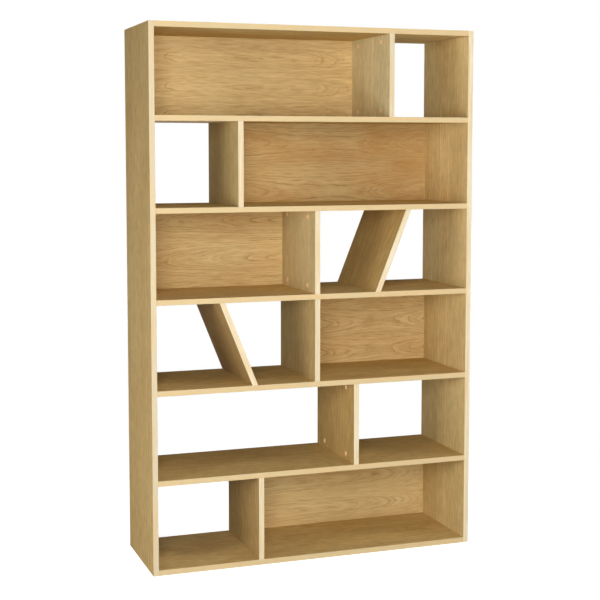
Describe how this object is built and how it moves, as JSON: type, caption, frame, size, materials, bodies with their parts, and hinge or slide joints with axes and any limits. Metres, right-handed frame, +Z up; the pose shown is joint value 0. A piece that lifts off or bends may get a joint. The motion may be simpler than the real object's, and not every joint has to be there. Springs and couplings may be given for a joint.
{
  "type": "bookcase",
  "caption": "Tall oak-veneered bookcase with staggered upright dividers, slanted dividers and a mix of open and backed bays, for books and display.",
  "frame": {"origin": "on the floor at the middle of the bookcase's footprint", "axes": "+Z up, +X to the right seen from the front, +Y to the rear; the front is at -Y"},
  "size_m": [1.2, 0.38, 1.912],
  "materials": {
    "oak_veneer": "satin lacquered oak veneer",
    "oak_edge_band": "pale satin oak edging",
    "beech": "plain turned beech",
    "die_cast_zinc": "dull die-cast zinc",
    "plated_steel": "zinc-plated steel",
    "cap_plastic": "moulded plastic in a light brown"
  },
  "bodies": {
    "root": {"back_panel_row_1": "oak_veneer", "back_panel_row_2": "oak_veneer", "back_panel_row_3": "oak_veneer", "back_panel_row_4": "oak_veneer", "back_panel_row_6": "oak_veneer", "bottom_panel": "oak_veneer", "bottom_panel_edge_band": "oak_edge_band", "bracket_screws": "plated_steel", "cam_bolts": "plated_steel", "cam_locks": "die_cast_zinc", "cover_caps": "cap_plastic", "divider_row_1": "oak_veneer", "divider_row_1_edge_band": "oak_edge_band", "divider_row_2": "oak_veneer", "divider_row_2_edge_band": "oak_edge_band", "divider_row_3": "oak_veneer", "divider_row_3_edge_band": "oak_edge_band", "divider_row_4": "oak_veneer", "divider_row_4_edge_band": "oak_edge_band", "divider_row_5": "oak_veneer", "divider_row_5_edge_band": "oak_edge_band", "divider_row_6": "oak_veneer", "divider_row_6_edge_band": "oak_edge_band", "double_ended_bolts": "plated_steel", "dowels": "beech", "left_side": "oak_veneer", "left_side_edge_band": "oak_edge_band", "left_wall_bracket": "plated_steel", "right_side": "oak_veneer", "right_side_edge_band": "oak_edge_band", "right_wall_bracket": "plated_steel", "shelf_1": "oak_veneer", "shelf_1_edge_band": "oak_edge_band", "shelf_2": "oak_veneer", "shelf_2_edge_band": "oak_edge_band", "shelf_3": "oak_veneer", "shelf_3_edge_band": "oak_edge_band", "shelf_4": "oak_veneer", "shelf_4_edge_band": "oak_edge_band", "shelf_5": "oak_veneer", "shelf_5_edge_band": "oak_edge_band", "slant_dowels": "beech", "slanted_divider_row_3": "oak_veneer", "slanted_divider_row_3_edge_band": "oak_edge_band", "slanted_divider_row_4": "oak_veneer", "slanted_divider_row_4_edge_band": "oak_edge_band", "top_panel": "oak_veneer", "top_panel_edge_band": "oak_edge_band"}
  },
  "joints": []
}
